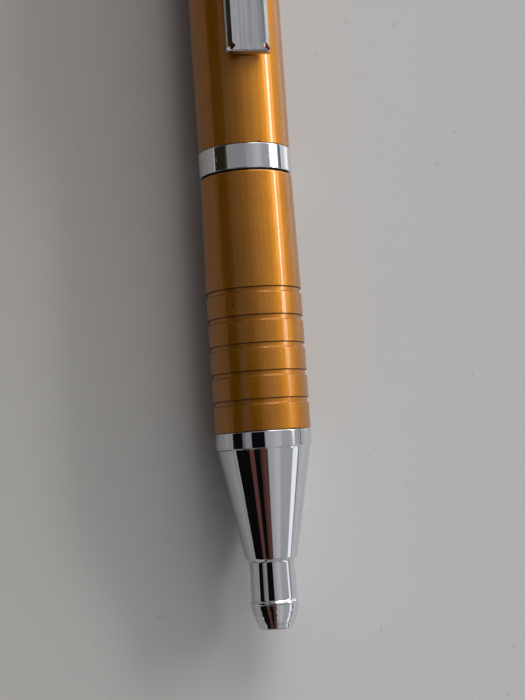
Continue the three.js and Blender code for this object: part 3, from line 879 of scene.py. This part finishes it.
class PEN_OT_rear(bpy.types.Operator):
    """Turn the centre ring, the rear barrel, the notched clip band and the domed cap"""

    bl_idname = "pen.rear"
    bl_label = "Rear barrel"

    def execute(self, context):
        piece = ring(
            "middle_ring", "centre_ring", size("ring_radius"), size("barrel_bore"), size("edge_round")
        )
        settle(piece, "chrome", "rear", "centre_ring")
        piece = ring("rear_tube", "rear_barrel", size("barrel_radius"), size("barrel_bore"), INNER_ROUND)
        settle(piece, "lacquer", "rear", "rear_barrel")
        self.turn_band()
        self.turn_cap()
        return {"FINISHED"}

    def turn_band(self):
        """The band that the clip's tongue hooks into."""
        piece = ring("root_band", "clip_band", size("grip_radius"), size("stud_bore"), size("edge_round"))
        place = rear("clip_band") - PIVOT_INSET
        clearance, reach, floor, above = 0.15, 0.45, 3.1, 6
        side = TONGUE_WIDTH / 2 + clearance
        cut(piece, box_cutter((-side, place - reach, floor), (side, place + reach, above), 0.1))
        settle(piece, "chrome", "rear", "clip_band")

    def turn_cap(self):
        """The cap, straight for a while and then domed to a flat end."""
        start, end = front("end_cap"), rear("end_cap")
        radius, flat = size("grip_radius"), size("cap_end_radius")
        side, steps = start + size("cap_side"), 12
        dome = [
            (side + (end - side) * math.sin(math.pi / 2 * i / steps),
             flat + (radius - flat) * math.cos(math.pi / 2 * i / steps))
            for i in range(steps + 1)
        ]
        inside = end - size("cap_wall")
        outline = [
            (inside, 0), (inside, size("stud_bore")), (start, size("stud_bore")), (start, radius),
            *dome, (end, 0),
        ]
        piece = turn("domed_cap", outline, [((3,), size("edge_round")), ((2,), INNER_ROUND)])
        settle(piece, "chrome", "rear", "end_cap")


class PEN_OT_clip(bpy.types.Operator):
    """Fold the fluted spring clip with its corner gaps, tongue and pip"""

    bl_idname = "pen.clip"
    bl_label = "Clip"

    def execute(self, context):
        back, top = CLIP_BACK, CLIP_ROOT_HEIGHT - PIVOT_HEIGHT
        nose_end = back - size("clip_length")
        clip = self.fold_sheet(nose_end, back, top)
        self.press_flutes(nose_end, back, top)
        self.pull_tongue(back, top)
        end_edit()
        slant, wide = size("clip_end_bevel"), 3
        cut(clip, box_cutter(
            (-wide, -slant / 2, -slant), (wide, slant / 2, slant), place=(0, nose_end, top), lean=45,
        ))
        for side in (-1, 1):
            self.notch_corner(clip, side, nose_end, top)
        apply_modifier(
            clip, "BEVEL", width=0.055, segments=3, limit_method="ANGLE", angle_limit=math.radians(33),
            use_clamp_overlap=True,
        )
        join(clip, self.press_pip(nose_end, top))
        bpy.ops.object.mode_set(mode="EDIT")
        choose_all()
        rotate(-self.slope(), "X")
        move(0, rear("clip_band") - PIVOT_INSET, PIVOT_HEIGHT)
        end_edit()
        settle(clip, "chrome", "clip", "clip_arm", finish="brushed_chrome", smooth=20)
        return {"FINISHED"}

    def slope(self):
        """How steeply the clip falls towards its free end."""
        return math.atan(size("clip_drop") / size("clip_length"))

    def fold_sheet(self, nose_end, back, top):
        """A block with its top edges folded in two slants, hollowed from below to the sheet's thickness."""
        height, second_slant = size("clip_bevel") + size("clip_flange"), 0.18
        clip = start_edit("spring_clip", bpy.ops.mesh.primitive_cube_add, size=1)
        bpy.ops.transform.resize(value=(size("clip_width"), back - nose_end, height))
        move(0, (back + nose_end) / 2, top - height / 2)
        choose(lambda place, along: place.z > top - CLOSE and abs(along.y) > 0.9, "EDGE")
        bpy.ops.mesh.bevel(offset=size("clip_bevel"), segments=1, affect="EDGES")
        fold = top - size("clip_bevel")
        choose(lambda place, along: abs(place.z - fold) < CLOSE and abs(along.y) > 0.9, "EDGE")
        bpy.ops.mesh.bevel(offset=second_slant, offset_type="ABSOLUTE", segments=1, affect="EDGES")
        choose(lambda _place, normal: normal.z < -0.9, "FACE")
        bpy.ops.mesh.inset(thickness=size("clip_sheet"))
        hollow = height - size("clip_sheet")
        bpy.ops.mesh.extrude_region_move(TRANSFORM_OT_translate={"value": (0, 0, hollow)})
        return clip

    def press_flutes(self, nose_end, back, top):
        """Three soft lengthwise flutes: the top is cut along their edges and middles, which sink."""
        half, inner, front_margin, rear_margin = size("clip_flute_width") / 2, 0.62, 1.0, 1.2
        ends = (nose_end + front_margin, back - rear_margin)
        middles = [i * (size("clip_width") - 2 * size("clip_bevel")) / 3 for i in (-1, 0, 1)]

        def cut_top(point, normal):
            choose(lambda place, up: place.z > top - CLOSE and up.z > 0.9, "FACE")
            bpy.ops.mesh.bisect(plane_co=point, plane_no=normal)

        for end in ends:
            cut_top((0, end, 0), (0, 1, 0))
        for flute in middles:
            for share in (-1, -inner, 0, inner, 1):
                cut_top((flute + share * half, 0, 0), (1, 0, 0))
        for share, drop in ((0, 1.0), (inner, 0.62)):
            choose(lambda place, _normal: (
                place.z > top - CLOSE
                and ends[0] - CLOSE < place.y < ends[1] + CLOSE
                and any(abs(abs(place.x - flute) - share * half) < CLOSE for flute in middles)
            ))
            move(0, 0, -drop * size("clip_flute_depth"))

    def pull_tongue(self, back, top):
        """The tongue at the clip's root, drawn down from the rear wall to hook into the band."""
        low, foot = top - size("clip_bevel") - size("clip_flange"), -0.25
        choose(lambda place, normal: (
            normal.z < -0.9 and abs(place.z - low) < CLOSE and place.y > back - size("clip_sheet")
            and abs(place.x) < CLOSE
        ), "FACE")
        bpy.ops.mesh.inset(thickness=0.02)
        bpy.ops.transform.resize(value=(TONGUE_WIDTH / size("clip_width"), 1, 1))
        bpy.ops.mesh.extrude_region_move(TRANSFORM_OT_translate={"value": (0, 0, foot - low)})

    def notch_corner(self, clip, side, nose_end, top):
        """The gap at a corner of the free end, between the folded side and the folded end."""
        half, reach, inset, below, above = size("clip_notch") / 2, 0.38, 0.44, 0.9, 0.5
        corner = side * (size("clip_width") / 2 - size("clip_bevel") * 0.8)
        cut(clip, box_cutter(
            (-reach, -half, -below), (reach, half, above), half * 0.6,
            place=(corner, nose_end + inset, top), lean=side * 45, about="Z",
        ))

    def press_pip(self, nose_end, top):
        """The pip under the free end that bears on the barrel: a short post with a domed foot."""
        inset, gap, radius, rounding = 3.2, 0.1, 0.8, 0.32
        place, slope = nose_end + inset, self.slope()
        floor = (size("barrel_radius") + gap - PIVOT_HEIGHT - place * math.sin(slope)) / math.cos(slope)
        roof = top - size("clip_sheet") / 2
        pip = start_edit(
            "pip", bpy.ops.mesh.primitive_cylinder_add, vertices=48, radius=radius, depth=roof - floor,
            location=(0, 0, 0),
        )
        choose(lambda spot, _along: spot.z < (floor - roof) / 2 + CLOSE, "EDGE")
        bpy.ops.mesh.bevel(offset=rounding, segments=6, affect="EDGES")
        choose_all()
        move(0, place, (roof + floor) / 2)
        end_edit()
        return pip


class PEN_OT_inside(bpy.types.Operator):
    """Give the pieces inside the pen their finishes"""

    bl_idname = "pen.inside"
    bl_label = "Inside pieces"

    def execute(self, context):
        slots = {part["node"]: part["material_slot"] for part in frame["record"]["subparts"]}
        for node, piece in frame["nodes"].items():
            finish = finish_named(slots[node])
            if not piece.material_slots:
                piece.data.materials.append(finish)
            for held in piece.material_slots:
                held.material = finish
        return {"FINISHED"}


class PEN_OT_stage(bpy.types.Operator):
    """Lay the table, light the room and set up the camera"""

    bl_idname = "pen.stage"
    bl_label = "Stage"

    def execute(self, context):
        stage = context.scene.pen_stage
        self.lay_table(stage)
        self.light_room(stage)
        self.place_camera(stage)
        context.scene.view_settings.view_transform = "Standard"
        return {"FINISHED"}

    def place_camera(self, stage):
        """The camera above the pen, leaning to the side away from the clip."""
        bpy.ops.object.camera_add(location=stage.camera_place, rotation=stage.camera_turn)
        bpy.context.scene.camera = bpy.context.object
        camera = bpy.context.object.data
        camera.lens = stage.lens
        camera.sensor_width = 36.0
        camera.sensor_fit = "AUTO"
        camera.clip_start = 0.005
        camera.clip_end = 100.0

    def lay_table(self, stage):
        """A plain pale table just under the pen, with painted shade to its left, stronger towards the pen's
        rear, that fades to an even tone further away.
        """
        sunk = 0.00002
        bpy.ops.mesh.primitive_plane_add(size=stage.table_width, location=(0, 0, -sunk))
        table = bpy.context.object
        table.name = "table"
        bpy.ops.object.transform_apply(location=True, rotation=True, scale=True)
        finish = Finish("table")
        x, y, _z = finish.parts(finish.place)
        # Painted shadow: the table left of the pen is darkened, more towards the pen's rear, where the pen
        # and the room shade it; far from the pen this fades to an even tone
        painted_shadow_left = finish.ease(x, 0.004, -0.012) * (0.62 + finish.ease(y, -0.064, 0.006) * 0.38)
        ahead = y + 0.038
        away = finish.ease((x * x + ahead * ahead) ** 0.5, 0.06, 0.15)
        far = painted_shadow_left * (1.0 - away) + away * 0.4
        cloud = finish.noise(finish.place, 60.0, 3.0)
        specks = finish.ease(finish.noise(finish.place, 900.0, 3.0), 0.69, 0.74)
        pale = paint("table")
        # dim is the colour of the painted shade, mixed in by far below
        dim = tuple(part * share for part, share in zip(pale[:3], (0.74, 0.71, 0.67))) + (1.0,)
        shade = finish.mix(far, pale, dim)
        shade = finish.mix(cloud * 0.08, shade, (0.50, 0.485, 0.465, 1.0))
        shade = finish.mix(specks * 0.25, shade, (0.34, 0.32, 0.30, 1.0))
        table.data.materials.append(finish.surface(base_color=shade, roughness=0.27, specular_ior_level=0.4))

    def light_room(self, stage):
        """The room as the pen sees it: a window low on the right, a pale ceiling and a dim left side.

        A direction is given by its lean towards the right of straight up and its rise towards the
        pen's rear, both in degrees.
        """
        world = bpy.data.worlds.new("room")
        bpy.context.scene.world = world
        world.use_nodes = True
        room = Shader(world.node_tree)
        towards = room.node("TexCoord", output="Generated")
        x, y, z = room.parts(towards)
        lean = room.node("Math", {"operation": "ARCTAN2"}, {0: x, 1: z}) * (180 / math.pi)
        rise = room.node("Math", {"operation": "ARCSINE"}, {0: y}) * (180 / math.pi)
        wobble = room.noise(towards, 7.0, 2.0) * 9.0 - 4.5

        def grey(level, blue=1.0):
            return (level, level, level * blue, 1.0)

        ease, band = room.ease, room.band
        ceiling, window = stage.ceiling, stage.window
        sky = ease(rise, 26.0, 48.0) * band(lean, 8.0, 54.0, 8.0)
        behind = ease(rise, 3.0, 8.0)
        card = band(lean + wobble * 0.5, -39.0, -10.0, 1.5) * ease(rise, 7.0, 3.0)
        warm = band(lean + wobble * 0.5, -75.0, -6.0, 2.0) * ease(rise, -11.0, -15.0)
        stripes = band(lean + wobble, -51.0, -38.0, 4.0) + band(lean - wobble, -20.0, -8.0, 5.0)
        across = band(lean, 55.0, 77.0, 1.5) * ease(rise, 62.0, 50.0)
        above_sill = ease(rise, -1.0, 16.0)
        core = band(lean, 60.0, 67.0, 1.5) * above_sill * ease(rise, 38.0, 28.0)
        strip = band(lean, 68.0, 80.0, 3.0) * ease(rise, -1.0, -3.0) * ease(rise, -44.0, -38.0)
        light = grey(0.003)
        for cover, shade in (
            # The ceiling, from the left to the right, and the sky high behind the pen
            (ease(lean, -64.0, -55.0), grey(ceiling * 0.5, 1.04)),
            (ease(lean, -20.0, 24.0), grey(ceiling, 1.04)),
            (ease(lean, 22.0, 38.0), grey(ceiling * 0.76, 1.04)),
            (sky, grey(stage.skylight)),
            # The dim left side behind the pen, and dark and warm things ahead of it
            (ease(lean, -56.0, -60.0) * behind, (0.017, 0.014, 0.009, 1.0)),
            (band(lean, -63.0, -59.0, 1.5) * behind, (0.034, 0.042, 0.022, 1.0)),
            (card, (0.003, 0.003, 0.004, 1.0)),
            (warm, grey(0.003)),
            (warm * stripes * 0.9, (0.105, 0.042, 0.036, 1.0)),
            (ease(rise, -44.0, -62.0), grey(0.02)),
            (ease(rise, -64.0, -74.0), grey(0.3)),
            # The window's lower pane, its upper part and its bright core, and the light beside it
            (across * above_sill, grey(window * 0.11)),
            (across * ease(rise, 28.0, 38.0), grey(window * 0.27)),
            (core, grey(window)),
            (strip, grey(0.95, 1.05)),
            (band(lean, 83.0, 90.0, 1.0), (0.10, 0.12, 0.17, 1.0)),
        ):
            light = room.mix(cover, light, shade)

        # Straight to the camera, and low over the horizon, everything is plain
        glow = room.node("Background", None, {"Color": light})
        plain = room.node("Background", None, {"Color": (0.72, 0.71, 0.69, 1.0)})
        mirrored, through, seen = (
            room.node("LightPath", output=f"Is {kind} Ray") for kind in ("Glossy", "Transmission", "Camera")
        )
        seen = seen.larger(mirrored.larger(through) * room.ease(z, 0.03, 0.015))
        both = room.node("MixShader", None, {0: seen, 1: glow, 2: plain})
        room.node("OutputWorld", None, {"Surface": both})


class PEN_PT_panel(bpy.types.Panel):
    """The pen's pieces, sizes and colours"""

    bl_idname = "PEN_PT_panel"
    bl_label = "Pen"
    bl_space_type = "VIEW_3D"
    bl_region_type = "UI"
    bl_category = "Pen"

    def draw(self, context):
        for operator in PIECES:
            self.layout.operator(operator.bl_idname)
        for group in (getattr(context.scene, name) for name in GROUPS):
            box = self.layout.box()
            for name in group.bl_rna.properties.keys():
                if name not in ("rna_type", "name"):
                    box.prop(group, name)


PIECES = (
    PEN_OT_stage, PEN_OT_nose, PEN_OT_grip, PEN_OT_slide, PEN_OT_refill, PEN_OT_rear, PEN_OT_clip,
    PEN_OT_inside,
)
GROUPS = {"pen_sizes": PenSizes, "pen_colours": PenColours, "pen_stage": PenStage}
CLASSES = (*GROUPS.values(), *PIECES, PEN_PT_panel)


def register():
    for made in CLASSES:
        bpy.utils.register_class(made)
    for name, group in GROUPS.items():
        setattr(bpy.types.Scene, name, bpy.props.PointerProperty(type=group))


def unregister():
    for name in GROUPS:
        delattr(bpy.types.Scene, name)
    for made in reversed(CLASSES):
        bpy.utils.unregister_class(made)


def main():
    """Build the whole pen."""
    register()
    bpy.ops.pen.stage()
    bpy.ops.pen.nose()
    bpy.ops.pen.grip()
    bpy.ops.pen.slide()
    bpy.ops.pen.refill()
    bpy.ops.pen.rear()
    bpy.ops.pen.clip()
    bpy.ops.pen.inside()


if __name__ == "__main__":
    main()
